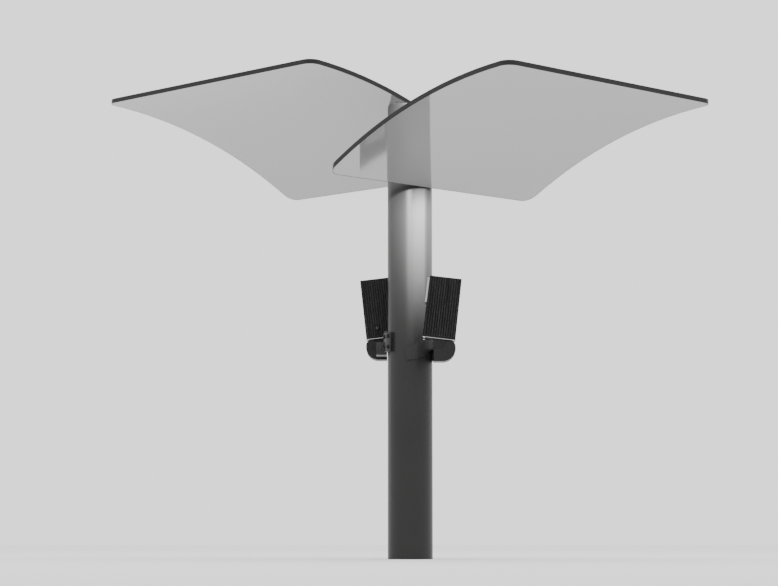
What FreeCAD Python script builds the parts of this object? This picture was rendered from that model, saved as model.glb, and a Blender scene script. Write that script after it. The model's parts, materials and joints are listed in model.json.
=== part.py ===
import FreeCAD, Part
import math
import os

# Upper section of a two-wing indirect street lamp. Two arched reflector wings sit at the
# top of a round post, and two tilting projectors at mid height light them from below.
# Millimetres, Z up. Origin: centre of the post's open foot, where it slips over a stub.

# post
post_radius = 84.15
post_wall = 5.0
post_height_limit = 1900.0
fit_gap = 0.15                 # between pieces that are pressed or bonded together
loose_gap = 0.4                # between pieces that move past each other

# foot socket, for a 139.7 mm stub tube
socket_radius = 70.5
socket_depth = 180.0
set_screw_radius = 5.0
set_screw_heights = [45.0, 135.0]
set_screw_azimuths = [55.0, 125.0]

# wings, each in a frame that is turned to its azimuth about the post's axis:
# X runs along the bent direction, Y across it
wings = {
    "front": {"azimuth": -50.0, "run": 965.0, "across": 1000.0, "drop": 231.0,
              "start": 94.5, "middle": 33.0, "edge_height": 1391.0},
    "rear": {"azimuth": -130.0, "run": 1057.0, "across": 1095.0, "drop": 253.0,
             "start": -457.0, "middle": -506.0, "edge_height": 1523.0},
}
wing_corner = 42.0
corner_flats = 8
frame_height = 17.0
frame_width = 10.0
frame_skin = 1.6               # the frame's outer wall, which covers the sheet's edge
sheet_thickness = 2.0
rib_height = 12.0
rib_width = 20.0
rib_inset = 17.0               # from the wing's edge to the ends of its ribs
cover_gap = 0.3                # round the top cover, inside the frame
cover_thickness = 1.5
flange_thickness = 8.0
web_thickness = 12.0
stud_radius = 4.0
stud_rise = 12.0
nut_radius = 7.0
washer_thickness = 1.6

# front carrier
root_plate_thickness = 12.0
root_plate_height = 150.0
root_plate_half_angle = 34.0
front_carrier_reach = 560.0
front_flange_half_width = 85.0
front_web_root_height = 120.0
front_web_tip_height = 18.0
root_bolt_radius = 6.0

# rear carrier and the clamp on the post's top
rear_flange_half_width = 85.0
rear_carrier_reach = 900.0
rear_web_height = 60.0
rear_carrier_setback = 18.0
last_rib_from_edge = 145.0
clamp_bolt_radius = 5.0
clamp_bolts_along = 42.0
clamp_bolts_across = [-44.0, 8.0]
head_plate_thickness = 14.0
seat_gap = 2.0                 # between the post's slanted top and the rear wing's sheet

# gear inside the post
tray_bottom = 960.0
tray_height = 380.0
tray_offset = 18.0
tray_thickness = 3.0
driver_size = [70.0, 36.0, 150.0]
terminal_size = [60.0, 26.0, 60.0]

# projector modules; the rear one is the front one turned half round the post and raised
module_turn = {"front": 0.0, "rear": 180.0}
module_rise = {"front": 0.0, "rear": 32.0}
module_middle = -150.0         # the module's own upright plane, along Y
saddle_thickness = 14.0
saddle_left = -13.0
saddle_back_angle = 42.0
arm_foot = 741.0
arm_top = 822.0
arm_bolt_radius = 4.0
arm_bolt_angles = [10.0, 31.0]
arm_bolt_heights = [758.0, 798.0]
grommet_angle = -42.0
grommet_height = 786.0
grommet_radius = 11.0
lug_left = 88.0
lug_right = 128.0
lug_bottom = 733.0
lug_top = 781.0

cradle_half_depth = 35.0
cradle_cheek = 8.0
cradle_wall = 6.0
cradle_bottom = 724.0
cradle_bar_top = 770.0
cradle_corner = 47.0
cradle_chamfer = 10.0
cradle_bolt_radius = 4.0

pivot_x = 147.0
pivot_z = 778.0
pivot_boss_radius = 21.0
pin_radius = 5.0
pin_running_gap = 0.05

# projector, in a frame on the middle of its base that leans out with the head
head_lean = 6.7
pivot_in_head = [44.0, -23.0]
head_height = 230.0
base_half = [61.0, 48.0]
top_half = [59.0, 43.0]
fin_depth = 8.0
fin_thickness = 3.0
fin_pitch = 9.0
base_plate_thickness = 2.0
flange_height = 8.0
housing_top = 216.0
gear_cavity_top = 178.0
gear_cavity_half = [46.0, 30.0]
light_pocket_floor = 190.0
light_pocket_half = [40.0, 26.0]
board_thickness = 2.0
glass_half = [42.0, 27.0]
glass_thickness = 4.0
gasket_thickness = 2.0
window_half = [38.0, 23.0]
bezel_screw_place = [46.4, 30.8]
bezel_screw_radius = 1.6
base_screw_place = [54.0, 41.5]
base_screw_radius = 2.0
base_screw_head = 4.0
neck_half_depth = cradle_half_depth - cradle_cheek - loose_gap
neck_boss_radius = 14.0
neck_side = 12.0               # kept inside the boss so that the neck can tilt past the cradle's wall
neck_foot = -35.0
neck_start = -18.0
side_cover_bottom = 132.0
side_cover_top = 224.0
side_cover_half = 27.0
side_cover_thickness = 15.0
gland_place = [14.0, 40.0]
gland_radius = 9.0

up = FreeCAD.Vector(0, 0, 1)


def point(x, y, z):
    return FreeCAD.Vector(x, y, z)


def save(name, shape):
    shape.exportStep("parts/" + name + ".step")


def box(low, high):
    size = [b - a for a, b in zip(low, high)]
    return Part.makeBox(size[0], size[1], size[2], point(*low))


def rod(radius, start, end):
    direction = end - start
    return Part.makeCylinder(radius, direction.Length, start, direction)


def joined(shapes):
    return shapes[0].multiFuse(shapes[1:]).removeSplitter()


def turned(shape, azimuth, rise=0.0):
    copy = shape.copy()
    copy.rotate(point(0, 0, 0), up, azimuth)
    copy.translate(point(0, 0, rise))
    return copy


def frustum(low_half, high_half, low_z, high_z):
    wires = []
    for half, height in [(low_half, low_z), (high_half, high_z)]:
        signs = [(-1, -1), (1, -1), (1, 1), (-1, 1), (-1, -1)]
        wires.append(Part.makePolygon([point(a * half[0], b * half[1], height) for a, b in signs]))
    return Part.makeLoft(wires, True, True)


# ---- wings, in the turned frame ----

def bend_radius(wing):
    return (wing["run"] ** 2 + wing["drop"] ** 2) / (2.0 * wing["drop"])


def bend_centre(wing):
    x = wing["start"] + wing["run"]
    return point(x, 0, wing["edge_height"] + wing["drop"] - bend_radius(wing))


# the stretch between two offsets from the wing's lower rim, over a box of the plan
def arched(wing, low, high, x_range, y_range):
    def at(x, offset):
        return point(x, y_range[0], surface_height(wing, x, offset))

    near, far = x_range
    middle = (near + far) / 2.0
    outline = [
        Part.Arc(at(near, low), at(middle, low), at(far, low)).toShape(),
        Part.makeLine(at(far, low), at(far, high)),
        Part.Arc(at(far, high), at(middle, high), at(near, high)).toShape(),
        Part.makeLine(at(near, high), at(near, low)),
    ]
    return Part.Face(Part.Wire(outline)).extrude(point(0, y_range[1] - y_range[0], 0))


def wing_plan(wing, inset):
    x_range = [wing["start"] + inset, wing["start"] + wing["run"] - inset]
    y_range = [wing["middle"] - wing["across"] / 2.0 + inset, wing["middle"] + wing["across"] / 2.0 - inset]
    return x_range, y_range


# an upright prism over the wing's plan, its corners turned in short flats
def wing_prism(wing, inset):
    x_range, y_range = wing_plan(wing, inset)
    radius = wing_corner - inset
    low = wing["edge_height"] - 200.0
    outline = []
    for x, y, start in [(x_range[1] - radius, y_range[1] - radius, 0.0),
                        (x_range[0] + radius, y_range[1] - radius, 90.0),
                        (x_range[0] + radius, y_range[0] + radius, 180.0),
                        (x_range[1] - radius, y_range[0] + radius, 270.0)]:
        for step in range(corner_flats + 1):
            angle = math.radians(start + 90.0 * step / corner_flats)
            outline.append(point(x + radius * math.cos(angle), y + radius * math.sin(angle), low))
    outline.append(outline[0])
    return Part.Face(Part.makePolygon(outline)).extrude(up * (wing["drop"] + 400.0))


def wing_layer(wing, low, high, inset):
    x_range, y_range = wing_plan(wing, inset)
    return arched(wing, low, high, x_range, y_range).common(wing_prism(wing, inset))


def surface_height(wing, x, offset):
    centre = bend_centre(wing)
    radius = bend_radius(wing) + offset
    return centre.z + math.sqrt(radius ** 2 - (centre.x - x) ** 2)


# a rod square to the bent surface, between two offsets, through the rim level at x, y
def normal_rod(wing, radius, place, low, high):
    centre = bend_centre(wing)
    rim = point(place[0], 0, surface_height(wing, place[0], 0))
    out = (rim - point(centre.x, 0, centre.z)).normalize()
    foot = rim + point(0, place[1], 0)
    return rod(radius, foot + out * low, foot + out * high)


rib_low = sheet_thickness
cover_low = rib_low + rib_height
flange_low = frame_height + fit_gap
flange_high = flange_low + flange_thickness
cover_high = cover_low + cover_thickness
packer_high = flange_low


# a ring above the sheet's edge, with a thin wall that runs down past it
def make_frame(wing):
    ring = wing_layer(wing, rib_low + fit_gap, frame_height, 0).cut(wing_prism(wing, frame_width))
    wall = wing_layer(wing, 0, rib_low + 2.0 * fit_gap, 0).cut(wing_prism(wing, frame_skin))
    return joined([ring, wall])


def make_ribs(wing, places, studs):
    x_range = wing_plan(wing, rib_inset)[0]
    inside = wing_prism(wing, rib_inset)
    ribs = []
    for place in places:
        strip = [place - rib_width / 2.0, place + rib_width / 2.0]
        ribs.append(arched(wing, rib_low, cover_low, x_range, strip).common(inside))
    for place in studs:
        ribs.append(normal_rod(wing, stud_radius, place, rib_low + 1.0, flange_high + stud_rise))
    return ribs


def stud_holes(wing, studs):
    return [normal_rod(wing, stud_radius + 0.5, place, cover_low, flange_high + 1.0) for place in studs]


# a domed nut on a washer, with room inside for the stud
def make_nuts(wing, studs):
    nuts = []
    for place in studs:
        seat = flange_high + 0.2
        washer = normal_rod(wing, nut_radius + 2.0, place, seat, seat + washer_thickness)
        nut = normal_rod(wing, nut_radius, place, seat + washer_thickness, flange_high + stud_rise + 2.0)
        bore = normal_rod(wing, stud_radius + 0.05, place, flange_high - 1.0, flange_high + stud_rise + 0.1)
        nuts.append(joined([washer, nut]).cut(bore))
    return nuts


# packers fill the space between the cover and the carrier's flange, and carry its load
def make_packers(wing, places, x_range):
    pads = []
    for place in places:
        strip = [place - rib_width / 2.0, place + rib_width / 2.0]
        pads.append(arched(wing, cover_high, packer_high, x_range, strip))
    return pads


def save_wing(side, rib_places, studs, clearances, packers, carrier):
    wing = wings[side]
    azimuth = wing["azimuth"]
    holes = stud_holes(wing, studs)
    sheet = wing_layer(wing, 0, sheet_thickness, frame_skin + fit_gap)
    cover = wing_layer(wing, cover_low, cover_high, frame_width + cover_gap)
    ribs = make_ribs(wing, rib_places, studs)
    frame = make_frame(wing)
    solids = {
        "_edge_frame": frame,
        "_reflector_sheet": sheet.cut(clearances) if clearances else sheet,
        "_top_cover": cover.cut(holes + clearances),
        "_carrier_packers": Part.makeCompound([pad.cut(holes + clearances) for pad in packers]),
        "_carrier": carrier.cut(holes + clearances),
        "_carrier_nuts": Part.makeCompound(make_nuts(wing, studs)),
    }
    ribs_with_studs = joined(ribs)
    if clearances:
        ribs_with_studs = ribs_with_studs.cut(clearances)
    solids["_stiffening_ribs"] = ribs_with_studs
    for name, shape in solids.items():
        save(side + name, turned(shape, azimuth))


def front_wing():
    wing = wings["front"]
    rib_places = [-360.0, -60.0, 60.0, 360.0]
    studs = [(x, y) for x in (190.0, 360.0, 530.0) for y in (-60.0, 60.0)]
    end = front_carrier_reach
    packers = make_packers(wing, [-60.0, 60.0], [130.0, end])
    flange = arched(wing, flange_low, flange_high, [post_radius + 18.0, end],
                    [-front_flange_half_width, front_flange_half_width])
    foot = surface_height(wing, post_radius, flange_high)
    tip = surface_height(wing, end, flange_high)
    outline = [
        point(post_radius + 2.0, 0, foot - 60.0),
        point(end - 10.0, 0, foot - 60.0),
        point(end - 10.0, 0, tip + front_web_tip_height),
        point(post_radius + 2.0, 0, foot + front_web_root_height),
    ]
    face = Part.Face(Part.makePolygon(outline + [outline[0]]))
    web = face.extrude(point(0, web_thickness, 0))
    web.translate(point(0, -web_thickness / 2.0, 0))
    below = Part.makeCylinder(bend_radius(wing) + flange_high - 0.5, 400.0,
                              bend_centre(wing) - point(0, 200.0, 0), point(0, 1, 0))
    web = web.cut(below)
    root_low = surface_height(wing, post_radius + 18.0, flange_high) - 4.0
    root = root_saddle(root_low)
    carrier = joined([root, web, flange.cut(rod(post_radius + 0.5, point(0, 0, 1000.0), point(0, 0, 1700.0)))])
    bolts, holes = root_bolts(root_low)
    carrier = carrier.cut(holes)
    save_wing("front", rib_places, studs, [], packers, carrier)
    save("front_root_bolts", turned(Part.makeCompound(bolts), wing["azimuth"]))
    return [turned(hole, wing["azimuth"]) for hole in holes]


def root_saddle(low):
    ring = rod(post_radius + root_plate_thickness, point(0, 0, low), point(0, 0, low + root_plate_height))
    ring = ring.cut(rod(post_radius, point(0, 0, low - 1.0), point(0, 0, low + root_plate_height + 1.0)))
    reach = 200.0
    swing = math.radians(root_plate_half_angle)
    sector = [
        point(0, 0, low - 1.0),
        point(reach, -reach * math.tan(swing), low - 1.0),
        point(reach, reach * math.tan(swing), low - 1.0),
    ]
    wedge = Part.Face(Part.makePolygon(sector + [sector[0]])).extrude(up * (root_plate_height + 2.0))
    return ring.common(wedge)


def root_bolts(low):
    bolts = []
    holes = []
    for height in (low + 40.0, low + root_plate_height - 28.0):
        for angle in (-22.0, 22.0):
            out = point(math.cos(math.radians(angle)), math.sin(math.radians(angle)), 0)
            centre = point(0, 0, height)
            face = post_radius + root_plate_thickness
            shank = rod(root_bolt_radius, centre + out * (post_radius - 24.0), centre + out * (face + 1.0))
            head = rod(root_bolt_radius * 1.6, centre + out * face, centre + out * (face + 8.0))
            nut = rod(root_bolt_radius * 1.6, centre + out * (post_radius - 20.0),
                      centre + out * (post_radius - 9.0))
            bolts.append(joined([shank, head, nut]))
            holes.append(rod(root_bolt_radius + 0.3, centre + out * 60.0, centre + out * (face + 0.5)))
    return bolts, holes


def rear_wing():
    wing = wings["rear"]
    edge = wing["middle"] + wing["across"] / 2.0
    rib_places = [y + wing["middle"] for y in (-420.0, -140.0, 140.0, 370.0)]
    studs = [(x, y) for x in (-60.0, 60.0) for y in rib_places[1:]]
    strip = [-rear_flange_half_width, rear_flange_half_width]
    span = [edge - rear_carrier_reach, edge - rear_carrier_setback]
    flange = arched(wing, flange_low, flange_high, strip, span)
    web_span = [span[0] + 8.0, span[1] - 8.0]
    web = arched(wing, flange_high - 0.5, flange_high + rear_web_height,
                 [-web_thickness / 2.0, web_thickness / 2.0], web_span)
    web_foot = surface_height(wing, 0, flange_high)
    crest = web_foot + rear_web_height
    slope = Part.Face(Part.makePolygon([
        point(0, web_span[0] - 1.0, crest + 50.0),
        point(0, web_span[0] - 1.0, web_foot + 14.0),
        point(0, web_span[1] - 330.0, crest),
        point(0, web_span[1] - 140.0, crest),
        point(0, web_span[1] + 1.0, web_foot + 3.0),
        point(0, web_span[1] + 1.0, crest + 50.0),
        point(0, web_span[0] - 1.0, crest + 50.0),
    ])).extrude(point(60.0, 0, 0))
    slope.translate(point(-30.0, 0, 0))
    web = web.cut(slope)
    spots = [(x, y) for x in (-clamp_bolts_along, clamp_bolts_along) for y in clamp_bolts_across]
    bolts = []
    holes = []
    foot = -seat_gap - head_plate_thickness
    for place in spots:
        bolts.append(joined([
            normal_rod(wing, clamp_bolt_radius, place, foot - 4.0, flange_high + 1.0),
            normal_rod(wing, clamp_bolt_radius * 1.7, place, flange_high + 0.2, flange_high + 8.0),
        ]))
        holes.append(normal_rod(wing, clamp_bolt_radius + 0.2, place, foot - 10.0, flange_high + 0.1))
    bore = post_radius - post_wall
    carrier = joined([flange, web])
    block = rod(post_radius - 14.0, point(0, 0, 1500.0), point(0, 0, 1900.0))
    inside = wing_prism(wing, rib_inset)
    spacer = arched(wing, rib_low, cover_low, strip, [-100.0, 100.0]).common(block).common(inside)
    pad = arched(wing, cover_high, packer_high, strip, [-100.0, 100.0]).common(block).common(inside)
    seat_pad = arched(wing, -seat_gap, 0, strip, [-100.0, 100.0])
    seat_pad = seat_pad.common(rod(bore - 1.0, point(0, 0, 1500.0), point(0, 0, 1900.0))).common(inside)
    packers = make_packers(wing, rib_places[1:3], strip) + [pad]
    save_wing("rear", rib_places[:3] + [edge - last_rib_from_edge], studs, holes, packers, carrier)
    head = arched(wing, -seat_gap - head_plate_thickness, -seat_gap, strip, [-100.0, 100.0])
    head = head.common(rod(bore - fit_gap, point(0, 0, 1500.0), point(0, 0, 1900.0)))
    parts = {
        "rear_clamp_bolts": Part.makeCompound(bolts),
        "rear_clamp_spacer": spacer.cut(holes),
        "rear_seat_pad": seat_pad.cut(holes),
        "post_head_plate": head.cut(holes),
    }
    for name, shape in parts.items():
        save(name, turned(shape, wing["azimuth"]))


# ---- post ----

def radial_holes(radius, angles, heights, inner, outer):
    holes = []
    for height in heights:
        for angle in angles:
            out = point(math.cos(math.radians(angle)), math.sin(math.radians(angle)), 0)
            centre = point(0, 0, height)
            holes.append(rod(radius, centre + out * inner, centre + out * outer))
    return holes


def module_holes(radius, angles, heights, inner, outer):
    holes = []
    for side, turn in module_turn.items():
        angles_here = [angle + turn for angle in angles]
        heights_here = [height + module_rise[side] for height in heights]
        holes += radial_holes(radius, angles_here, heights_here, inner, outer)
    return holes


def post(root_holes):
    bore = post_radius - post_wall
    tube = rod(post_radius, point(0, 0, 0), point(0, 0, post_height_limit))
    tube = tube.cut(rod(bore, point(0, 0, -1.0), point(0, 0, post_height_limit + 1.0)))
    rear = wings["rear"]
    above = arched(rear, -seat_gap, 500.0, [-120.0, 120.0], [-120.0, 120.0])
    tube = tube.cut(turned(above, rear["azimuth"]))
    screws = radial_holes(set_screw_radius, set_screw_azimuths, set_screw_heights, 60.0, 90.0)
    arm_holes = module_holes(arm_bolt_radius + 0.3, arm_bolt_angles, arm_bolt_heights, 60.0, 90.0)
    cables = module_holes(grommet_radius, [grommet_angle], [grommet_height], 60.0, 90.0)
    save("post_tube", tube.cut(screws + arm_holes + cables + root_holes))

    sleeve = rod(bore - fit_gap, point(0, 0, 0), point(0, 0, socket_depth))
    sleeve = sleeve.cut(rod(socket_radius, point(0, 0, -1.0), point(0, 0, socket_depth + 1.0)))
    save("foot_sleeve", sleeve.cut(screws))
    set_screws = radial_holes(set_screw_radius - 0.02, set_screw_azimuths, set_screw_heights,
                              socket_radius + 1.0, post_radius - 0.6)
    sockets = radial_holes(2.5, set_screw_azimuths, set_screw_heights, post_radius - 5.0, post_radius)
    save("foot_set_screws", Part.makeCompound([screw.cut(sockets) for screw in set_screws]))

    grommets = []
    for body, hole in zip(module_holes(grommet_radius - 0.05, [grommet_angle], [grommet_height],
                                       bore - 3.0, post_radius + saddle_thickness * 0.6),
                          module_holes(6.0, [grommet_angle], [grommet_height], 60.0, 120.0)):
        grommets.append(body.cut(hole))
    save("cable_grommets", Part.makeCompound(grommets))

    chord = math.sqrt((bore - fit_gap) ** 2 - (tray_offset + tray_thickness) ** 2)
    tray = box([-chord, tray_offset, tray_bottom],
               [chord, tray_offset + tray_thickness, tray_bottom + tray_height])
    rim = 10.0
    for side in (-1, 1):
        edge = box([side * chord - (rim if side > 0 else 0.0), tray_offset - rim, tray_bottom],
                   [side * chord + (rim if side < 0 else 0.0), tray_offset, tray_bottom + tray_height])
        tray = tray.fuse(edge)
    tray = tray.common(rod(bore - fit_gap, point(0, 0, tray_bottom), point(0, 0, tray_bottom + tray_height)))
    save("gear_tray", tray.removeSplitter())
    drivers = []
    for lift in (20.0, 20.0 + driver_size[2] + 15.0):
        low = [-driver_size[0] / 2.0, tray_offset - driver_size[1], tray_bottom + lift]
        high = [driver_size[0] / 2.0, tray_offset, tray_bottom + lift + driver_size[2]]
        drivers.append(box(low, high))
    save("led_drivers", Part.makeCompound(drivers))
    face = tray_offset + tray_thickness
    save("terminal_block", box([-terminal_size[0] / 2.0, face, tray_bottom + 40.0],
                               [terminal_size[0] / 2.0, face + terminal_size[1],
                                tray_bottom + 40.0 + terminal_size[2]]))


# ---- projector modules, in the front one's place ----

def upright_prism(edges, y_low, y_high):
    face = Part.Face(Part.Wire(edges))
    prism = face.extrude(point(0, y_high - y_low, 0))
    prism.translate(point(0, y_low, 0))
    return prism


def line(start, end):
    return Part.makeLine(point(start[0], 0, start[1]), point(end[0], 0, end[1]))


def arc(start, middle, end):
    ends = [point(place[0], 0, place[1]) for place in (start, middle, end)]
    return Part.Arc(ends[0], ends[1], ends[2]).toShape()


def chain(corners):
    return [line(a, b) for a, b in zip(corners, corners[1:])]


# a horn-shaped saddle that hugs the post and ends in a lug behind the cradle
def make_arm():
    outer = post_radius + saddle_thickness
    ring = rod(outer, point(0, 0, arm_foot - 10.0), point(0, 0, arm_top))
    ring = ring.cut(rod(post_radius, point(0, 0, arm_foot - 11.0), point(0, 0, arm_top + 1.0)))
    tip_low = (saddle_left, arm_foot - 3.0)
    tip_high = (saddle_left, arm_foot + 37.0)
    shoulder = (post_radius - 1.0, arm_foot + 40.0)
    edges = [arc(tip_low, (45.0, arm_foot + 10.0), shoulder)]
    edges += chain([shoulder, (lug_left, arm_foot), (outer + 5.0, arm_foot), (outer + 5.0, arm_top), (41.0, arm_top)])
    edges += [arc((41.0, arm_top), (22.0, arm_foot + 57.0), tip_high)]
    edges += chain([tip_high, tip_low])
    front = ring.common(upright_prism(edges, -120.0, 0.0))
    swing = math.radians(saddle_back_angle)
    sector = [point(0, -0.5, arm_foot), point(200.0, -0.5, arm_foot),
              point(200.0, 200.0 * math.tan(swing), arm_foot), point(0, -0.5, arm_foot)]
    wedge = Part.Face(Part.makePolygon(sector)).extrude(up * (arm_top - 10.0 - arm_foot))
    back = ring.common(wedge)
    lug = box([lug_left, module_middle + cradle_half_depth, lug_bottom], [lug_right, -10.0, lug_top])
    web = box([lug_left, -40.0, arm_foot], [outer + 4.0, -10.0, arm_top - 10.0])
    core = rod(post_radius, point(0, 0, lug_bottom - 1.0), point(0, 0, arm_top + 1.0))
    holes = radial_holes(arm_bolt_radius + 0.3, arm_bolt_angles, arm_bolt_heights, 60.0, 110.0)
    cable = radial_holes(grommet_radius, [grommet_angle], [grommet_height], 60.0, outer - 4.0)
    holes += cable + cradle_bolt_holes(cradle_bolt_radius)
    return joined([piece.cut(holes) for piece in (front, back, lug.cut(core), web.cut(core))])


def make_arm_bolts():
    bolts = []
    outer = post_radius + saddle_thickness
    shanks = radial_holes(arm_bolt_radius, arm_bolt_angles, arm_bolt_heights, post_radius - 14.0, outer + 1.0)
    heads = radial_holes(arm_bolt_radius * 1.75, arm_bolt_angles, arm_bolt_heights, outer, outer + 5.0)
    sockets = radial_holes(2.5, arm_bolt_angles, arm_bolt_heights, outer + 2.0, outer + 6.0)
    for shank, head, socket in zip(shanks, heads, sockets):
        bolts.append(shank.fuse(head).cut(socket))
    return Part.makeCompound(bolts)


def cradle_bolt_spots():
    return [(lug_left + 12.0, cradle_bottom + 24.0), (lug_right - 12.0, cradle_bottom + 24.0)]


def cradle_bolt_holes(radius):
    inner = module_middle + cradle_half_depth - cradle_cheek
    return [rod(radius, point(x, inner - 1.0, z), point(x, inner + 34.0, z)) for x, z in cradle_bolt_spots()]


def make_cradle_bolts():
    bolts = []
    inner = module_middle + cradle_half_depth - cradle_cheek
    for x, z in cradle_bolt_spots():
        shank = rod(cradle_bolt_radius - 0.05, point(x, inner - 1.0, z), point(x, inner + 30.0, z))
        head = rod(cradle_bolt_radius * 1.7, point(x, inner - 5.0, z), point(x, inner, z))
        bolts.append(shank.fuse(head))
    return Part.makeCompound(bolts)


def cradle_outline():
    right = pivot_x + pivot_boss_radius
    bend = right - cradle_corner
    diagonal = cradle_corner * math.sqrt(0.5)
    corner_middle = (bend + diagonal, cradle_bottom + cradle_corner - diagonal)
    inner = pivot_x - pivot_boss_radius
    edges = chain([(lug_left, cradle_bottom), (bend, cradle_bottom)])
    edges += [arc((bend, cradle_bottom), corner_middle, (right, cradle_bottom + cradle_corner))]
    edges += chain([(right, cradle_bottom + cradle_corner), (right, pivot_z)])
    edges += [arc((right, pivot_z), (pivot_x, pivot_z + pivot_boss_radius), (inner, pivot_z))]
    edges += chain([(inner, pivot_z), (inner, cradle_bar_top + cradle_chamfer - 4.0),
                    (inner - cradle_chamfer, cradle_bar_top), (lug_left, cradle_bar_top),
                    (lug_left, cradle_bottom)])
    return edges


# two J-shaped cheeks joined by a wall along their lower and outer edge
def make_cradle():
    whole = upright_prism(cradle_outline(), module_middle - cradle_half_depth, module_middle + cradle_half_depth)
    right = pivot_x + pivot_boss_radius - cradle_wall
    floor = cradle_bottom + cradle_wall
    corner = cradle_corner - cradle_wall
    bend = right - corner
    diagonal = corner * math.sqrt(0.5)
    edges = chain([(lug_left - 2.0, floor), (bend, floor)])
    edges += [arc((bend, floor), (bend + diagonal, floor + corner - diagonal), (right, floor + corner))]
    edges += chain([(right, floor + corner), (right, pivot_z), (right + 20.0, pivot_z),
                    (right + 20.0, pivot_z + 60.0), (lug_left - 2.0, pivot_z + 60.0), (lug_left - 2.0, floor)])
    inside = cradle_half_depth - cradle_cheek
    hollow = upright_prism(edges, module_middle - inside, module_middle + inside)
    pin_hole = rod(pin_radius + fit_gap, point(pivot_x, module_middle - 60.0, pivot_z),
                   point(pivot_x, module_middle + 60.0, pivot_z))
    return whole.cut([hollow, pin_hole] + cradle_bolt_holes(cradle_bolt_radius))


def make_tilt_pin():
    near = module_middle - cradle_half_depth + 0.5
    far = module_middle + cradle_half_depth
    shank = rod(pin_radius, point(pivot_x, near, pivot_z), point(pivot_x, far + 1.0, pivot_z))
    head = rod(pin_radius * 1.8, point(pivot_x, far, pivot_z), point(pivot_x, far + 5.0, pivot_z))
    return shank.fuse(head).removeSplitter()


def leaned(shape):
    copy = shape.copy()
    copy.translate(point(-pivot_in_head[0], 0, -pivot_in_head[1]))
    copy.rotate(point(0, 0, 0), point(0, 1, 0), head_lean)
    copy.translate(point(pivot_x, module_middle, pivot_z))
    return copy


def head_half(height, inset):
    share = height / head_height
    return [a + (b - a) * share - inset for a, b in zip(base_half, top_half)]


def outer_taper(low, high, inset=0.0):
    return frustum(head_half(low, inset), head_half(high, inset), low, high)


def make_housing():
    low = base_plate_thickness
    core = outer_taper(low, housing_top, fin_depth)
    flange = outer_taper(low, low + flange_height)
    envelope = outer_taper(low, head_height)
    fins = []
    count = int(base_half[0] / fin_pitch)
    for step in range(-count, count + 1):
        middle = step * fin_pitch
        fins.append(box([middle - fin_thickness / 2.0, -base_half[1], low],
                        [middle + fin_thickness / 2.0, base_half[1], head_height]))
    side_count = int((base_half[1] - fin_depth) / fin_pitch)
    for step in range(-side_count, side_count + 1):
        middle = step * fin_pitch
        fins.append(box([-base_half[0], middle - fin_thickness / 2.0, low],
                        [base_half[0], middle + fin_thickness / 2.0, head_height]))
    combs = Part.makeCompound([fin.common(envelope) for fin in fins])
    bezel_seat = frustum(head_half(housing_top, fin_depth), head_half(head_height, fin_depth),
                         housing_top, head_height + 1.0)
    body = core.multiFuse([flange] + combs.Solids).cut(bezel_seat)
    gear_space = box([-gear_cavity_half[0], -gear_cavity_half[1], low - 1.0],
                     [gear_cavity_half[0], gear_cavity_half[1], gear_cavity_top])
    pocket = box([-light_pocket_half[0], -light_pocket_half[1], light_pocket_floor],
                 [light_pocket_half[0], light_pocket_half[1], housing_top + 1.0])
    wire = rod(5.0, point(-25.0, 0, gear_cavity_top - 2.0), point(-25.0, 0, light_pocket_floor + 2.0))
    gland = rod(gland_radius - 2.0, point(gland_place[0], 0, gland_place[1]),
                point(gland_place[0], base_half[1] + 5.0, gland_place[1]))
    side_slot = box([-base_half[0] - 5.0, -side_cover_half - 0.5, side_cover_bottom - 0.5],
                    [-head_half(side_cover_top, fin_depth)[0], side_cover_half + 0.5, side_cover_top + 0.5])
    return body.cut([gear_space, pocket, wire, gland, gland_seat(), side_slot] + bezel_screw_rods(0.1)
                    + base_screw_rods(0.1)).removeSplitter()


def gland_seat():
    return rod(gland_radius + 2.0, point(gland_place[0], base_half[1] - fin_depth - 1.0, gland_place[1]),
               point(gland_place[0], base_half[1] + 5.0, gland_place[1]))


def corner_spots(place):
    return [(a * place[0], b * place[1]) for a in (-1, 1) for b in (-1, 1)]


def bezel_screw_rods(extra):
    return [rod(bezel_screw_radius + extra, point(x, y, housing_top - 12.0), point(x, y, head_height - 2.0))
            for x, y in corner_spots(bezel_screw_place)]


def base_screw_rods(extra):
    return [rod(base_screw_radius + extra, point(x, y, -1.0), point(x, y, base_plate_thickness + 6.0))
            for x, y in corner_spots(base_screw_place)]


def ring_block(outer, inner, low, high):
    hole = box([-inner[0], -inner[1], low - 1.0], [inner[0], inner[1], high + 1.0])
    return box([-outer[0], -outer[1], low], [outer[0], outer[1], high]).cut(hole)


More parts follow.
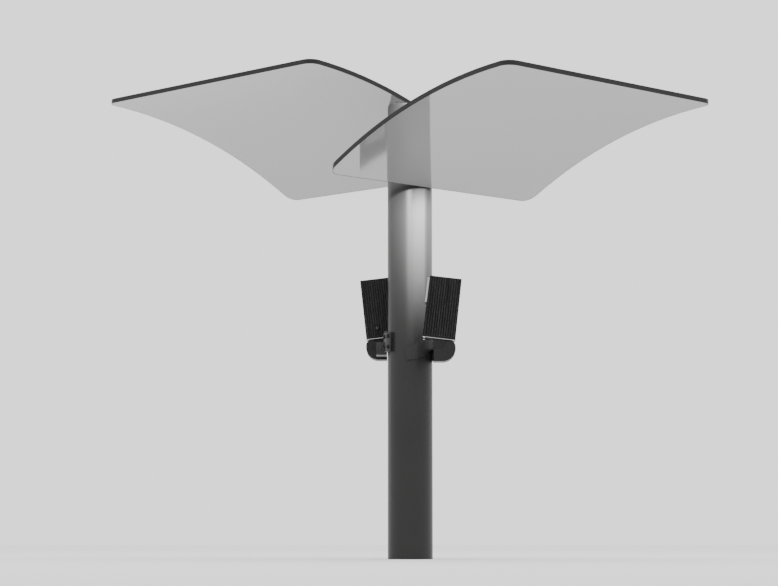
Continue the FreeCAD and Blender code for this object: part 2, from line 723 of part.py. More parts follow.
def make_head_parts():
    glass_low = housing_top + gasket_thickness
    glass_high = glass_low + glass_thickness
    cup_low = light_pocket_floor + board_thickness
    bezel = outer_taper(housing_top, head_height, fin_depth + fit_gap)
    seat = box([-glass_half[0] - 0.3, -glass_half[1] - 0.3, housing_top - 1.0],
               [glass_half[0] + 0.3, glass_half[1] + 0.3, glass_high])
    window = frustum(window_half, [window_half[0] + 3.0, window_half[1] + 3.0], glass_high - 1.0, head_height + 1.0)
    screws = []
    for screw, (x, y) in zip(bezel_screw_rods(0.0), corner_spots(bezel_screw_place)):
        head = rod(3.2, point(x, y, head_height - 3.0), point(x, y, head_height))
        screws.append(screw.fuse(head).cut(rod(1.3, point(x, y, head_height - 1.5), point(x, y, head_height + 1.0))))
    screw_heads = [rod(3.25, point(x, y, head_height - 3.0), point(x, y, head_height + 1.0))
                   for x, y in corner_spots(bezel_screw_place)]
    base = outer_taper(0.0, base_plate_thickness)
    base_screws = []
    for screw, (x, y) in zip(base_screw_rods(0.0), corner_spots(base_screw_place)):
        base_screws.append(screw.fuse(rod(base_screw_head, point(x, y, -2.5), point(x, y, 0.0))))
    cup_outer = [light_pocket_half[0] - 0.3, light_pocket_half[1] - 0.3]
    cup = box([-cup_outer[0], -cup_outer[1], cup_low], [cup_outer[0], cup_outer[1], housing_top])
    funnel = frustum([22.0, 12.0], [window_half[0] - 1.0, window_half[1] - 1.0], cup_low - 0.1, housing_top + 0.1)
    board = box([-cup_outer[0], -cup_outer[1], light_pocket_floor], [cup_outer[0], cup_outer[1], cup_low])
    chips = []
    for column in range(-2, 3):
        for row in (-1, 1):
            chips.append(box([column * 8.0 - 2.5, row * 5.0 - 2.5, cup_low],
                             [column * 8.0 + 2.5, row * 5.0 + 2.5, cup_low + 1.0]))
    gland_start = base_half[1] - fin_depth - 1.0
    gland_x, gland_z = gland_place
    gland = joined([
        rod(gland_radius, point(gland_x, gland_start, gland_z), point(gland_x, gland_start + 9.0, gland_z)),
        rod(gland_radius - 2.5, point(gland_x, gland_start - 6.0, gland_z), point(gland_x, gland_start + 16.0, gland_z)),
    ]).cut(rod(4.0, point(gland_x, gland_start - 7.0, gland_z), point(gland_x, gland_start + 17.0, gland_z)))
    cover_back = -head_half(side_cover_top, fin_depth)[0] - fit_gap
    cover = box([cover_back - side_cover_thickness, -side_cover_half, side_cover_bottom],
                [cover_back, side_cover_half, side_cover_top])
    return {
        "_projector_bezel": bezel.cut([seat, window] + bezel_screw_rods(0.1) + screw_heads),
        "_bezel_screws": Part.makeCompound(screws),
        "_front_glass": box([-glass_half[0], -glass_half[1], glass_low], [glass_half[0], glass_half[1], glass_high]),
        "_glass_gasket": ring_block(glass_half, window_half, housing_top, glass_low),
        "_reflector_cup": cup.cut(funnel),
        "_led_board": joined([board] + chips),
        "_base_plate": base.cut(base_screw_rods(0.1)),
        "_base_screws": Part.makeCompound(base_screws),
        "_tilt_neck": make_neck(),
        "_side_cover": cover,
        "_cable_gland": gland,
    }


def make_neck():
    pivot = pivot_in_head
    right = pivot[0] + neck_side
    edges = chain([(neck_start, 0.0), (right, 0.0), (right, pivot[1]), (pivot[0], pivot[1] - neck_boss_radius),
                   (neck_start, neck_foot), (neck_start, 0.0)])
    block = upright_prism(edges, -neck_half_depth, neck_half_depth)
    boss = rod(neck_boss_radius, point(pivot[0], -neck_half_depth, pivot[1]),
               point(pivot[0], neck_half_depth, pivot[1]))
    bore = rod(pin_radius + pin_running_gap, point(pivot[0], -60.0, pivot[1]), point(pivot[0], 60.0, pivot[1]))
    return joined([block, boss]).cut(bore)


def projector_modules():
    fixed = {
        "_arm": make_arm(),
        "_arm_bolts": make_arm_bolts(),
        "_cradle": make_cradle(),
        "_cradle_bolts": make_cradle_bolts(),
        "_tilt_pin": make_tilt_pin(),
    }
    moving = make_head_parts()
    moving["_housing"] = make_housing()
    for side, turn in module_turn.items():
        for name, shape in fixed.items():
            save(side + name, turned(shape, turn, module_rise[side]))
        for name, shape in moving.items():
            save(side + name, turned(leaned(shape), turn, module_rise[side]))


os.makedirs("parts", exist_ok=True)
root_holes = front_wing()
rear_wing()
post(root_holes)
projector_modules()
print("nodes written:", len(os.listdir("parts")))
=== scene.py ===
import json
import math
import bmesh
import bpy
from mathutils import Matrix, Vector
from mathutils.bvhtree import BVHTree


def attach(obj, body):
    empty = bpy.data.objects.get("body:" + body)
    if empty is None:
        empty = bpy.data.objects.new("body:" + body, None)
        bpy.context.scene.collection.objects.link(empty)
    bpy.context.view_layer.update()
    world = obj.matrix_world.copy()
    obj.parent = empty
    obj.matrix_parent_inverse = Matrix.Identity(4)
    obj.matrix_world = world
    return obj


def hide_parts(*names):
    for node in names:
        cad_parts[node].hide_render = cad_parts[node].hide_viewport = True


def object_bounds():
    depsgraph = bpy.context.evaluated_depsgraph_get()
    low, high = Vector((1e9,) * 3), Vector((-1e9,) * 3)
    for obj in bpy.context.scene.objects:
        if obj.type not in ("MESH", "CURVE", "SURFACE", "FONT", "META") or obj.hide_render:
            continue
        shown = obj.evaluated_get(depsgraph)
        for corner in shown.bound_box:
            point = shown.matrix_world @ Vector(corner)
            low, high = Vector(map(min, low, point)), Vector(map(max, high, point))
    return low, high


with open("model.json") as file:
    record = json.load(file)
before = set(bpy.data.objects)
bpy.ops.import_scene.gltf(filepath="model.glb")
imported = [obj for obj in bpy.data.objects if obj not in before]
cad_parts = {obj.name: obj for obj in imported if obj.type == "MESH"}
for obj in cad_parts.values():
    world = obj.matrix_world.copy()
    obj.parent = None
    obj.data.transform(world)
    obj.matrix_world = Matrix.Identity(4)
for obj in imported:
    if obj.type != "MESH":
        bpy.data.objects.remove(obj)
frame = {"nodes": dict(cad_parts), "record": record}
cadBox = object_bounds()
nodes = frame["nodes"]
sides = ["front", "rear"]
fixedBody = "post_and_wings"
print("frame loaded:", len(nodes), "nodes")


# camera, floor and light

cameraSetup = {
    "distance": 7.70,        # in front of the post's axis
    "eyeHeight": 0.067,      # above the foot
    "lens": 94.85,
    "turn": 0.59,            # degrees to the left
    "pitch": 6.90,           # degrees upward
    "farClip": 100.0,
}


def makeCamera(setup):
    camera = bpy.data.cameras.new("viewCamera")
    camera.lens = setup["lens"]
    camera.dof.use_dof = False
    camera.clip_end = setup["farClip"]
    holder = bpy.data.objects.new("viewCamera", camera)
    holder.location = (0.0, -setup["distance"], setup["eyeHeight"])
    levelView = 90.0         # a camera that looks level, in degrees
    holder.rotation_euler = (math.radians(levelView + setup["pitch"]), 0.0, math.radians(setup["turn"]))
    bpy.context.scene.collection.objects.link(holder)
    bpy.context.scene.camera = holder


lightSetup = {
    "skyStrength": 1.6,
    "keyPower": 28000.0,     # shared by the lamps of the row
    "keyAzimuths": [-16.0, -36.0, -54.0, -72.0, -94.0],
    "keyDistance": 5.0,
    "keyHeight": 2.70,
    "keyAim": 1.62,          # height on the post
    "keySize": 0.22,
    "keySpread": 16.0,       # degrees
    # the row lights the post and arms only, so that it leaves the projectors dark
    "keyLit": ["post_tube", "foot_sleeve", "front_arm", "rear_arm"],
    "keyShading": ["post_tube", "front_reflector_sheet", "front_edge_frame", "front_top_cover"],
    "topPower": 120.0,
    "topHeight": 5.0,
    "topSize": 6.0,
    "floorSize": 60.0,
    "floorGrey": 0.90,
}


def hangLamp(name, lamp, place, target):
    holder = bpy.data.objects.new(name, lamp)
    holder.location = place
    holder.rotation_mode = "QUATERNION"
    holder.rotation_quaternion = (Vector(target) - Vector(place)).to_track_quat("-Z", "Y")
    bpy.context.scene.collection.objects.link(holder)
    return holder


def gather(name, wanted):
    group = bpy.data.collections.new(name)
    for node in wanted:
        group.objects.link(nodes[node])
    return group


def makeLights(setup):
    world = bpy.data.worlds.new("paleWorld")
    world.use_nodes = True
    background = world.node_tree.nodes["Background"]
    background.inputs["Color"].default_value = (1.0, 1.0, 1.0, 1.0)
    background.inputs["Strength"].default_value = setup["skyStrength"]
    bpy.context.scene.world = world
    reach = setup["keyDistance"]
    keyLamp = bpy.data.lights.new("keyLight", "SPOT")
    keyLamp.energy = setup["keyPower"] / len(setup["keyAzimuths"])
    keyLamp.spot_size = math.radians(setup["keySpread"])
    keyLamp.spot_blend = 1.0
    keyLamp.shadow_soft_size = setup["keySize"]
    lit = gather("keyLit", setup["keyLit"])
    shading = gather("keyShading", setup["keyShading"])
    for azimuth in setup["keyAzimuths"]:
        swing = math.radians(azimuth)
        keyPlace = (reach * math.cos(swing), reach * math.sin(swing), setup["keyHeight"])
        holder = hangLamp("keyLight", keyLamp, keyPlace, (0.0, 0.0, setup["keyAim"]))
        holder.light_linking.receiver_collection = lit
        holder.light_linking.blocker_collection = shading
    topLamp = bpy.data.lights.new("topLight", "AREA")
    topLamp.shape = "DISK"
    topLamp.size = setup["topSize"]
    topLamp.energy = setup["topPower"]
    hangLamp("topLight", topLamp, (0.0, 0.0, setup["topHeight"]), (0.0, 0.0, 0.0))


# shader maths

class Wire:
    # an output socket that takes part in sums
    def __init__(self, paint, socket):
        self.paint = paint
        self.socket = socket

    def sum(self, operation, first, second=0.0, clamp=False):
        settings = {"operation": operation, "use_clamp": clamp}
        return self.paint.node("ShaderNodeMath", settings, {0: first, 1: second})

    def __add__(self, other):
        return self.sum("ADD", self, other)

    def __radd__(self, other):
        return self.sum("ADD", other, self)

    def __sub__(self, other):
        return self.sum("SUBTRACT", self, other)

    def __rsub__(self, other):
        return self.sum("SUBTRACT", other, self)

    def __mul__(self, other):
        return self.sum("MULTIPLY", self, other)

    def __rmul__(self, other):
        return self.sum("MULTIPLY", other, self)

    def __pow__(self, other):
        return self.sum("POWER", self, other)

    def clamped(self):
        return self.sum("ADD", self, 0.0, clamp=True)


class Paint:
    # one material and the few moves that its nodes need
    edgeGain = 6.0           # how fast the edge mask rises as the surface turns

    def __init__(self, name, **constants):
        self.material = bpy.data.materials.new(name)
        self.material.use_nodes = True
        self.tree = self.material.node_tree
        self.shader = self.tree.nodes["Principled BSDF"]
        for socketName, value in constants.items():
            self.fix(socketName, value)

    def fix(self, socketName, value):
        self.shader.inputs[socketName.replace("_", " ")].default_value = value

    def node(self, kind, settings, inputs, output=0):
        made = self.tree.nodes.new(kind)
        for key, value in settings.items():
            setattr(made, key, value)
        for key, value in inputs.items():
            socket = made.inputs[key]
            if isinstance(value, Wire):
                self.tree.links.new(value.socket, socket)
            else:
                socket.default_value = value
        return Wire(self, made.outputs[output])

    def place(self):
        return self.node("ShaderNodeTexCoord", {}, {}, "Object")

    def axis(self, name):
        return self.node("ShaderNodeSeparateXYZ", {}, {0: self.place()}, name)

    def noise(self, scale, detail=3.0, roughness=0.5, stretch=(1.0, 1.0, 1.0)):
        spot = self.node("ShaderNodeMapping", {}, {"Vector": self.place(), "Scale": stretch})
        return self.node("ShaderNodeTexNoise", {}, {"Vector": spot, "Scale": scale, "Detail": detail,
                                                   "Roughness": roughness}, "Fac")

    def cells(self, scale):
        inputs = {"Vector": self.place(), "Scale": scale}
        return self.node("ShaderNodeTexVoronoi", {"feature": "F1"}, inputs, "Distance")

    def edges(self, radius):
        # light where the surface turns sharply
        bevel = self.node("ShaderNodeBevel", {"samples": 4}, {"Radius": radius})
        flat = self.node("ShaderNodeNewGeometry", {}, {}, "Normal")
        settings = {"operation": "DOT_PRODUCT"}
        agreement = self.node("ShaderNodeVectorMath", settings, {0: bevel, 1: flat}, "Value")
        return (1.0 - agreement) * self.edgeGain

    def blend(self, factor, first, second):
        return self.node("ShaderNodeMix", {"data_type": "RGBA"}, {0: factor, 6: first, 7: second}, 2)

    def colour(self, wire):
        self.tree.links.new(wire.socket, self.shader.inputs["Base Color"])

    def rough(self, wire):
        self.tree.links.new(wire.socket, self.shader.inputs["Roughness"])

    def bump(self, height, depth, normal=None):
        inputs = {"Distance": depth, "Height": height}
        if normal is not None:
            inputs["Normal"] = normal
        made = self.node("ShaderNodeBump", {}, inputs)
        self.tree.links.new(made.socket, self.shader.inputs["Normal"])


def grey(value, warmth=0.0):
    return (value * (1.0 + warmth), value, value * (1.0 - warmth), 1.0)


# finishes

postFinish = {
    "base": 0.022,
    "spread": 0.004,
    "rough": 0.37,
    "roughSpread": 0.05,
    "metallic": 0.0,
    "ior": 1.28,
    "grainSize": 900.0,
    "grainDepth": 0.00004,
    "wear": 0.06,
    "wearReach": 0.0025,
    "warmth": 0.01,
}


def paintedCharcoal(name, setup):
    paint = Paint(name, Metallic=setup["metallic"], IOR=setup["ior"])
    cloud = paint.noise(3.0, 4.0)
    speck = paint.noise(setup["grainSize"], 2.0)
    streak = paint.noise(14.0, 3.0, 0.55, (1.0, 1.0, 0.06))
    worn = (paint.edges(setup["wearReach"]) * paint.noise(60.0, 4.0)).clamped()
    darker, lighter = setup["base"] - setup["spread"], setup["base"] + setup["spread"]
    base = paint.blend(cloud, grey(darker), grey(lighter, setup["warmth"]))
    paint.colour(paint.blend(worn, base, grey(setup["wear"])))
    paint.rough(setup["rough"] + (streak - 0.5) * setup["roughSpread"] + (speck - 0.5) * 0.05)
    paint.bump(speck + paint.noise(setup["grainSize"] * 0.35, 2.0) * 0.6, setup["grainDepth"])
    return paint.material


reflectorFinish = {
    "base": 0.37,
    "spread": 0.008,
    "rough": 0.05,
    "metallic": 0.5,
    "ior": 1.2,
    "warmth": 0.003,
    "rollDepth": 0.000006,
}


def glossyReflector(name, setup, twist=None):
    paint = Paint(name, Metallic=setup["metallic"], IOR=setup["ior"])
    cloud = paint.noise(2.2, 3.0)
    haze = paint.noise(9.0, 5.0, 0.6)
    dust = paint.noise(500.0, 2.0)
    darker, lighter = setup["base"] - setup["spread"], setup["base"] + setup["spread"]
    paint.colour(paint.blend(cloud, grey(darker), grey(lighter, setup["warmth"])))
    paint.rough(setup["rough"] + (haze - 0.5) * 0.02 + (dust - 0.5) * 0.01)
    height = paint.noise(35.0, 2.0) + dust * 0.1
    if twist is None:
        paint.bump(height, setup["rollDepth"])
        return paint.material
    lean = (twist["lean"] + (paint.axis("Y") + twist["from"]) * twist["fade"]).clamped()
    rise = (1.0 - lean * lean) ** 0.5
    parts = {0: lean * twist["across"], 1: lean * -1.0, 2: rise * -1.0}
    turned = paint.node("ShaderNodeCombineXYZ", {}, parts)
    paint.bump(height, setup["rollDepth"], turned)
    return paint.material


coatDetail = {
    "cloudSize": 8.0,
    "wearReach": 0.0012,
    "wearSize": 150.0,
    "finReach": 0.0022,
    "finSize": 90.0,
    "finStretch": (1.0, 1.0, 0.03),
    "finLevel": 0.42,        # of the noise, above which a fin edge gets the painted highlight
    "finContrast": 4.0,
}


def powderCoat(name, base, rough, grain=1200.0, depth=0.00005, wear=0.12, ior=1.5, finHighlight=0.0):
    paint = Paint(name, IOR=ior)
    cloud = paint.noise(coatDetail["cloudSize"], 3.0)
    speck = paint.noise(grain, 2.0)
    worn = (paint.edges(coatDetail["wearReach"]) * paint.noise(coatDetail["wearSize"], 4.0)).clamped()
    coat = paint.blend(cloud, grey(base * 0.8), grey(base * 1.2))
    if finHighlight > 0.0:
        # painted highlight: lighter fin edges, each fin edge by its own amount
        spread = paint.noise(coatDetail["finSize"], 3.0, 0.6, coatDetail["finStretch"])
        highlightShare = ((spread - coatDetail["finLevel"]) * coatDetail["finContrast"]).clamped()
        coat = paint.blend((paint.edges(coatDetail["finReach"]) * highlightShare).clamped(), coat, grey(finHighlight))
    paint.colour(paint.blend(worn, coat, grey(wear)))
    paint.rough(rough + (cloud - 0.5) * 0.10 + (speck - 0.5) * 0.08)
    paint.bump(speck, depth)
    return paint.material


def bareMetal(name, base, rough, stretch=(1.0, 1.0, 1.0), scale=400.0):
    paint = Paint(name, Metallic=1.0)
    cloud = paint.noise(30.0, 4.0)
    brush = paint.noise(scale, 4.0, 0.6, stretch)
    paint.colour(paint.blend(cloud, grey(base * 0.85), grey(base)))
    paint.rough(rough + (brush - 0.5) * 0.15 + (cloud - 0.5) * 0.08)
    paint.bump(brush, 0.00002)
    return paint.material


def zincCoat(name):
    paint = Paint(name, Metallic=1.0)
    spangle = paint.cells(160.0)
    cloud = paint.noise(18.0, 4.0)
    paint.colour(paint.blend(spangle, grey(0.42), grey(0.60)))
    paint.rough(0.38 + spangle * 0.3 + (cloud - 0.5) * 0.15)
    paint.bump(spangle, 0.00003)
    return paint.material


def moulded(name, base, rough):
    paint = Paint(name, IOR=1.48)
    cloud = paint.noise(25.0, 3.0)
    grain = paint.noise(1800.0, 2.0)
    paint.colour(paint.blend(cloud, grey(base * 0.85), grey(base * 1.1)))
    paint.rough(rough + (cloud - 0.5) * 0.12)
    paint.bump(grain, 0.00003)
    return paint.material


def clearGlass(name):
    paint = Paint(name, IOR=1.5, Transmission_Weight=1.0)
    smear = paint.noise(40.0, 4.0)
    paint.colour(paint.blend(smear, (0.95, 0.98, 0.97, 1.0), (1.0, 1.0, 1.0, 1.0)))
    paint.rough(0.01 + smear * 0.03)
    return paint.material


finishes = {
    "post_paint": paintedCharcoal("postPaint", postFinish),
    "frame_paint": powderCoat("framePaint", base=0.012, rough=0.42, wear=0.05, ior=1.3),
    "reflector": glossyReflector("reflectorGloss", reflectorFinish),
    "cover_paint": powderCoat("coverPaint", base=0.30, rough=0.45, grain=900.0, depth=0.00004, wear=0.45),
    "galvanised": zincCoat("galvanised"),
    "zinc_fastener": bareMetal("stainless", base=0.62, rough=0.28),
    # painted highlight on the housing's fin edges
    "housing_black": powderCoat("housingBlack", base=0.004, rough=0.42, wear=0.08, ior=1.25, finHighlight=0.10),
    "cradle_black": powderCoat("cradleBlack", base=0.010, rough=0.40, wear=0.04, ior=1.32),
    "bare_aluminium": bareMetal("machinedAluminium", base=0.42, rough=0.30, stretch=(1.0, 1.0, 0.05)),
    "clear_glass": clearGlass("clearGlass"),
    "mirror_cup": bareMetal("mirrorCup", base=0.88, rough=0.08),
    "rubber_black": moulded("rubberBlack", base=0.02, rough=0.7),
    "circuit_white": moulded("circuitWhite", base=0.7, rough=0.35),
    "gear_plastic": moulded("gearPlastic", base=0.5, rough=0.5),
    "nylon_black": moulded("nylonBlack", base=0.025, rough=0.5),
}


# turns the shading normals of the front sheet away from its geometry, so that it mirrors the post upright;
# the sheet itself isn't twisted
sheetTwist = {
    "lean": 0.23,            # of the normals at the post
    "from": 0.123,           # that spot, in front of the post's axis
    "fade": 0.12,            # lean lost with each metre towards the front
    "across": 0.06,
}
frontSheetPaint = glossyReflector("frontReflectorGloss", reflectorFinish, sheetTwist)
# painted shade: shown in the cradle's black in place of their own slot's finish, standing in for the dark
# recesses in shade at the cradles
shadeBlackedNodes = ["rear_arm", "front_arm_bolts", "rear_arm_bolts", "front_cradle_bolts", "rear_cradle_bolts"]


def finishNodes(record):
    for row in record["subparts"]:
        node = nodes[row["node"]]
        node.data.materials.clear()
        node.data.materials.append(finishes[row["material_slot"]])
    nodes["front_reflector_sheet"].data.materials[0] = frontSheetPaint
    # painted shade: the rear arm and the bolts take the cradle's black
    for name in shadeBlackedNodes:
        nodes[name].data.materials[0] = finishes["cradle_black"]


# detail pieces

sharpAngle = 38.0            # degrees between faces that meet in a crisp edge


def pieceFromMesh(build, name, finish, body, *replaced):
    mesh = bpy.data.meshes.new(name)
    build.to_mesh(mesh)
    build.free()
    mesh.materials.append(finishes[finish])
    mesh.shade_smooth()
    piece = bpy.data.objects.new(name, mesh)
    bpy.context.scene.collection.objects.link(piece)
    sharpen = piece.modifiers.new("sharpEdges", "EDGE_SPLIT")
    sharpen.split_angle = math.radians(sharpAngle)
    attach(piece, body)
    if replaced:
        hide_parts(*replaced)
    return piece


def facing(place, direction):
    # a frame at a place whose z axis points the given way
    turn = Vector(direction).to_track_quat("Z", "Y").to_matrix().to_4x4()
    return Matrix.Translation(place) @ turn


def roundPoint(radius, angle, height):
    return Vector((radius * math.cos(angle), radius * math.sin(angle), height))


def addLathe(build, profile, sections, spot):
    # turns a profile of (radius, height) pairs round z; six sections give a hexagon
    rings = []
    for radius, height in profile:
        ring = []
        for step in range(sections):
            angle = 2.0 * math.pi * step / sections
            ring.append(build.verts.new(spot @ roundPoint(radius, angle, height)))
        rings.append(ring)
    for low, high in zip(rings, rings[1:]):
        for step in range(sections):
            after = (step + 1) % sections
            build.faces.new((low[step], low[after], high[after], high[step]))
    build.faces.new(list(reversed(rings[0])))
    build.faces.new(rings[-1])


def addTube(build, path, radii, sections=8, closed=False):
    # a tube with its own radius at each point of a path
    rings = []
    count = len(path)
    for index, (place, radius) in enumerate(zip(path, radii)):
        if closed:
            ahead = path[(index + 1) % count] - path[index - 1]
        else:
            ahead = path[min(index + 1, count - 1)] - path[max(index - 1, 0)]
        spot = facing(place, ahead)
        ring = []
        for step in range(sections):
            angle = 2.0 * math.pi * step / sections
            ring.append(build.verts.new(spot @ roundPoint(radius, angle, 0.0)))
        rings.append(ring)
    pairs = list(zip(rings, rings[1:]))
    if closed:
        pairs.append((rings[-1], rings[0]))
    for low, high in pairs:
        for step in range(sections):
            after = (step + 1) % sections
            build.faces.new((low[step], low[after], high[after], high[step]))
    if not closed:
        build.faces.new(list(reversed(rings[0])))
        build.faces.new(rings[-1])


def surfaceOf(name):
    mesh = nodes[name].data
    corners = [vertex.co.copy() for vertex in mesh.vertices]
    return BVHTree.FromPolygons(corners, [list(face.vertices) for face in mesh.polygons])


def islands(name):
    # the corner points of each separate solid of a node
    build = bmesh.new()
    build.from_mesh(nodes[name].data)
    bmesh.ops.remove_doubles(build, verts=build.verts, dist=0.00001)
    left = set(build.verts)
    groups = []
    while left:
        group = []
        front = [left.pop()]
        while front:
            vertex = front.pop()
            group.append(vertex.co.copy())
            for edge in vertex.link_edges:
                other = edge.other_vert(vertex)
                if other in left:
                    left.remove(other)
                    front.append(other)
        groups.append(group)
    build.free()
    return groups


def middleOf(points):
    return sum(points, Vector()) / len(points)


def reachAlong(points, start, direction):
    spans = [(point - start).dot(direction) for point in points]
    return min(spans), max(spans)


wingDetail = {
    "front": {"azimuth": -50.0, "rivetRows": [-0.360, 0.360]},
    "rear": {"azimuth": -130.0, "rivetRows": [-0.926, -0.366]},
    "rivetRadius": 0.0042,
    "rivetHeight": 0.0016,
    "rivetPitch": 0.080,
    "rivetInset": 0.020,
    "rivetCorner": 0.020,
    "rowMargin": 0.06,       # from the wing's ends to the first rivet of a row
    "sealInset": 0.0012,
    "sealPitch": 0.02,
    "sealRadius": 0.0014,
    "cornerRadius": 0.0310,
}


class Wing:
    # plan and top surfaces of one wing
    def __init__(self, side):
        self.side = side
        self.turn = Matrix.Rotation(math.radians(wingDetail[side]["azimuth"]), 4, "Z")
        self.cover = surfaceOf(side + "_top_cover")
        self.carrier = surfaceOf(side + "_carrier")
        flat = [self.turn.inverted() @ vertex.co for vertex in nodes[side + "_top_cover"].data.vertices]
        self.low = Vector([min(point[axis] for point in flat) for axis in range(3)])
        self.high = Vector([max(point[axis] for point in flat) for axis in range(3)])

    def drop(self, surface, x, y):
        # the highest spot of a surface under a place on the plan
        above = self.turn @ Vector((x, y, 0.0))
        above.z = 3.0
        place, normal, _, _ = surface.ray_cast(above, Vector((0.0, 0.0, -1.0)))
        return place, normal

    def outline(self, inset, corner, pitch):
        # plan points of a rectangle with round corners
        lowX, lowY = self.low.x + inset, self.low.y + inset
        highX, highY = self.high.x - inset, self.high.y - inset
        middles = [(highX - corner, highY - corner, 0.0), (lowX + corner, highY - corner, 90.0),
                   (lowX + corner, lowY + corner, 180.0), (highX - corner, lowY + corner, 270.0)]
        knots = []
        for x, y, start in middles:
            for step in range(7):
                angle = math.radians(start + 15.0 * step)
                knots.append(Vector((x + corner * math.cos(angle), y + corner * math.sin(angle), 0.0)))
        points = []
        for here, there in zip(knots, knots[1:] + knots[:1]):
            count = max(1, round((there - here).length / pitch))
            points += [here.lerp(there, step / count) for step in range(count)]
        return points


def makeRivets(wing):
    rows = wingDetail[wing.side]["rivetRows"]
    radius, height = wingDetail["rivetRadius"], wingDetail["rivetHeight"]
    pitch = wingDetail["rivetPitch"]
    rim = wing.outline(wingDetail["rivetInset"], wingDetail["rivetCorner"], pitch)
    spots = [(point.x, point.y) for point in rim]
    start, end = wing.low.x + wingDetail["rowMargin"], wing.high.x - wingDetail["rowMargin"]
    count = round((end - start) / pitch)
    for row in rows:
        for step in range(count + 1):
            spots.append((start + (end - start) * step / count, row))
    profile = [(radius, -0.0004), (radius, height * 0.25), (radius * 0.86, height * 0.7),
               (radius * 0.55, height * 0.95), (radius * 0.2, height)]
    build = bmesh.new()
    kept = []
    for x, y in spots:
        place, normal = wing.drop(wing.cover, x, y)
        if place is None or any((place - other).length < radius * 5.0 for other in kept):
            continue
        kept.append(place)
        addLathe(build, profile, 12, facing(place, normal))
    pieceFromMesh(build, wing.side + "_cover_rivets", "zinc_fastener", fixedBody)


def makeSeal(wing):
    radius = wingDetail["sealRadius"]
    build = bmesh.new()
    path = []
    for point in wing.outline(wingDetail["sealInset"], wingDetail["cornerRadius"], wingDetail["sealPitch"]):
        place, _ = wing.drop(wing.cover, point.x, point.y)
        if place is not None:
            path.append(place)
    wobble = []
    for index in range(len(path)):
        wobble.append(radius * (1.0 + 0.18 * math.sin(index * 1.7) + 0.1 * math.sin(index * 0.61)))
    addTube(build, path, wobble, 8, closed=True)
    pieceFromMesh(build, wing.side + "_cover_seal", "rubber_black", fixedBody)


weldDetail = {
    "radius": 0.0042,
    "ripple": 0.16,
    "pitch": 0.0032,
    "webHalf": 0.0060,
    "webGap": 0.0012,
    "lift": 0.0004,
    "front": {"start": 0.100, "end": 0.548, "alongX": True},
    "rear": {"start": 0.030, "end": -0.840, "alongX": False},
}


def weldPath(wing, start, end, side, alongX):
    # follows the flange beside the web; start and end are distances on the plan
    count = int(abs(end - start) / weldDetail["pitch"])
    path = []
    offset = side * (weldDetail["webHalf"] + weldDetail["webGap"])
    for step in range(count + 1):
        along = start + (end - start) * step / count
        x, y = (along, offset) if alongX else (offset, along)
        place, normal = wing.drop(wing.carrier, x, y)
        if place is not None and normal.z > 0.5:
            path.append(place + normal * weldDetail["lift"])
    return path


def makeWelds(wing):
    reach = weldDetail[wing.side]
    build = bmesh.new()
    for side in (-1.0, 1.0):
        path = weldPath(wing, reach["start"], reach["end"], side, reach["alongX"])
        radii = []
        for index in range(len(path)):
            ripple = weldDetail["ripple"] * ((index % 2) * 2 - 1) * 0.5
            radii.append(weldDetail["radius"] * (1.0 + ripple + 0.06 * math.sin(index * 0.37)))
        addTube(build, path, radii, 8)
    pieceFromMesh(build, wing.side + "_carrier_welds", "post_paint", fixedBody)


hexDetail = {
    "chamfer": 0.92,
    "washerRadius": 1.35,
    "washerHeight": 0.0016,
}


def addHexHead(build, spot, radius, height):
    # a chamfered hexagon on a washer; its corners lie at radius
    low = hexDetail["washerHeight"]
    wide = radius * hexDetail["washerRadius"]
    washer = [(wide * 0.97, 0.0), (wide, low * 0.25), (wide, low * 0.75), (wide * 0.97, low)]
    addLathe(build, washer, 28, spot)
    chamfer = hexDetail["chamfer"]
    addLathe(build, [(radius * 0.97, low), (radius, low + 0.0004), (radius, height * 0.86),
                     (radius * chamfer, height), (radius * 0.5, height + 0.00001)], 6, spot)


rootBoltDetail = {
    "headRadius": 0.0094,
    "headHeight": 0.0079,
    "headSink": 0.0080,      # how far the head reaches back from the far end
    "shankRadius": 0.0058,
    "shankShort": 0.0081,
    "nutFromEnd": 0.0150,
    "nutHeight": 0.0105,
}


def makeRootBolts():
    detail = rootBoltDetail
    build = bmesh.new()
    for points in islands("front_root_bolts"):
        out = middleOf(points)
        out.z = 0.0
        out.normalize()
        heights = [point.z for point in points]
        axisSpot = Vector((0.0, 0.0, (min(heights) + max(heights)) / 2.0))
        near, far = reachAlong(points, axisSpot, out)
        headSpot = facing(axisSpot + out * (far - detail["headSink"]), out)
        addHexHead(build, headSpot, detail["headRadius"], detail["headHeight"])
        shank = facing(axisSpot + out * near, out)
        shankEnd = far - near - detail["shankShort"]
        shankRadius = detail["shankRadius"]
        addLathe(build, [(0.0052, 0.0), (shankRadius, 0.0008), (shankRadius, shankEnd)], 20, shank)
        nutSpot = facing(axisSpot + out * (near + detail["nutFromEnd"]), -out)
        addHexHead(build, nutSpot, detail["headRadius"], detail["nutHeight"])
    pieceFromMesh(build, "front_root_hex_bolts", "zinc_fastener", fixedBody, "front_root_bolts")


clampBoltDetail = {
    "headRadius": 0.0084,
    "headHeight": 0.0077,
    "headSink": 0.0078,
    "shankRadius": 0.0049,
    "shankShort": 0.0079,
    "searchRise": 0.05,      # the carrier is looked for above the bolt
}


def makeClampBolts(wing):
    detail = clampBoltDetail
    build = bmesh.new()
    for points in islands("rear_clamp_bolts"):
        middle = middleOf(points)
        _, normal, _, _ = wing.carrier.find_nearest(middle + Vector((0.0, 0.0, detail["searchRise"])))
        axis = Vector(normal).normalized()
        near, far = reachAlong(points, middle, axis)
        headSpot = facing(middle + axis * (far - detail["headSink"]), axis)
        addHexHead(build, headSpot, detail["headRadius"], detail["headHeight"])
        shankEnd = far - near - detail["shankShort"]
        shankRadius = detail["shankRadius"]
        addLathe(build, [(0.0045, 0.0), (shankRadius, 0.0006), (shankRadius, shankEnd)], 20,
                 facing(middle + axis * near, axis))
    pieceFromMesh(build, "rear_clamp_hex_bolts", "zinc_fastener", fixedBody, "rear_clamp_bolts")


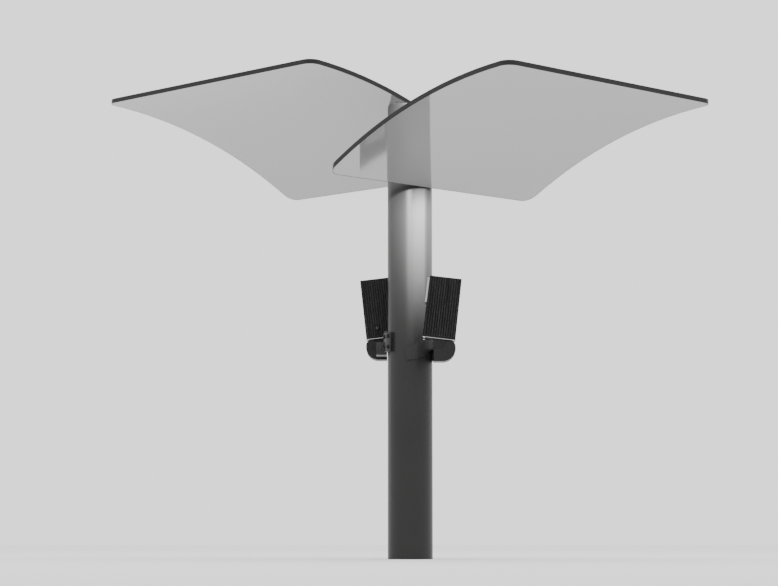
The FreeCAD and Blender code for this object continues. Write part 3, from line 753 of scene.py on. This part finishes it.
def makeDomeNuts(wing):
    build = bmesh.new()
    for points in islands(wing.side + "_carrier_nuts"):
        middle = middleOf(points)
        _, normal, _, _ = wing.carrier.find_nearest(middle)
        axis = Vector(normal).normalized()
        near, far = reachAlong(points, middle, axis)
        spot = facing(middle + axis * near, axis)
        tall = far - near
        washer = [(0.0087, 0.0), (0.0090, 0.0003), (0.0090, 0.0013), (0.0087, 0.0016)]
        hexagon = [(0.0068, 0.0016), (0.0070, 0.0020), (0.0070, tall * 0.50), (0.0064, tall * 0.56)]
        dome = [(0.0056, tall * 0.54), (0.0055, tall * 0.68), (0.0047, tall * 0.84),
                (0.0032, tall * 0.95), (0.0012, tall)]
        addLathe(build, washer, 28, spot)
        addLathe(build, hexagon, 6, spot)
        addLathe(build, dome, 20, spot)
    pieceFromMesh(build, wing.side + "_dome_nuts", "zinc_fastener", fixedBody, wing.side + "_carrier_nuts")


glandDetail = {
    "ridgeSteps": 24,
    "crestRadius": 0.0083,
    "grooveRadius": 0.0076,
}


def makeGland(side):
    name = side + "_cable_gland"
    points = islands(name)[0]
    middle = middleOf(points)
    out = Vector((0.0, 1.0 if side == "front" else -1.0, 0.0))
    near, far = reachAlong(points, middle, out)
    spot = facing(middle + out * near, out)
    tall = far - near
    build = bmesh.new()
    addLathe(build, [(0.0064, 0.0), (0.0064, 0.0058)], 20, spot)
    addLathe(build, [(0.0088, 0.0060), (0.0090, 0.0064), (0.0090, 0.0112), (0.0084, 0.0118)], 6, spot)
    ridges = []
    for step in range(glandDetail["ridgeSteps"]):
        ridges.append(glandDetail["crestRadius"] if step % 2 else glandDetail["grooveRadius"])
    rings = [(0.0119, 0.96), (0.0124, 1.0), (0.0172, 1.0), (0.0192, 0.88),
             (tall - 0.0006, 0.72), (tall, 0.60)]     # height, share of the ridge radius
    loops = []
    for height, share in rings:
        loop = []
        for step, ridge in enumerate(ridges):
            angle = 2.0 * math.pi * step / len(ridges)
            reach = ridge * share
            loop.append(build.verts.new(spot @ roundPoint(reach, angle, height)))
        loops.append(loop)
    for low, high in zip(loops, loops[1:]):
        for step in range(len(ridges)):
            after = (step + 1) % len(ridges)
            build.faces.new((low[step], low[after], high[after], high[step]))
    build.faces.new(list(reversed(loops[0])))
    build.faces.new(loops[-1])
    pieceFromMesh(build, side + "_ribbed_gland", "nylon_black", side + "_projector", name)


bevelSegments = 2
bevelAngle = 35.0            # degrees; flatter edges stay as they are
bevelWidths = {
    "_cradle": 0.0011,
    "_arm": 0.0009,
    "_tilt_neck": 0.0008,
    "_side_cover": 0.0014,
    "_base_plate": 0.0003,
    "_projector_bezel": 0.0006,
    "_carrier": 0.0009,
}


def softenEdges():
    for side in sides:
        for ending, width in bevelWidths.items():
            bevel = nodes[side + ending].modifiers.new("softEdges", "BEVEL")
            bevel.width = width
            bevel.segments = bevelSegments
            bevel.limit_method = "ANGLE"
            bevel.angle_limit = math.radians(bevelAngle)


def makeFloor(setup):
    mesh = bpy.data.meshes.new("studioFloor")
    half = setup["floorSize"] / 2.0
    corners = [(-half, -half, 0.0), (half, -half, 0.0), (half, half, 0.0), (-half, half, 0.0)]
    mesh.from_pydata(corners, [], [(0, 1, 2, 3)])
    floor = bpy.data.objects.new("studioFloor", mesh)
    floor.location.z = cadBox[0][2]
    bpy.context.scene.collection.objects.link(floor)
    paint = Paint("floorPaint", Roughness=0.9)
    paint.fix("Base Color", grey(setup["floorGrey"]))
    mesh.materials.append(paint.material)


makeCamera(cameraSetup)
makeLights(lightSetup)
makeFloor(lightSetup)
print("camera, lights and floor made")
finishNodes(frame["record"])
softenEdges()
print("finishes set")
frontWing = Wing("front")
rearWing = Wing("rear")
for eachWing in (frontWing, rearWing):
    makeRivets(eachWing)
    makeSeal(eachWing)
    makeDomeNuts(eachWing)
for eachWing in (frontWing, rearWing):
    makeWelds(eachWing)
makeRootBolts()
makeClampBolts(rearWing)
print("wing details made")
for side in sides:
    makeGland(side)
print("projector details made")
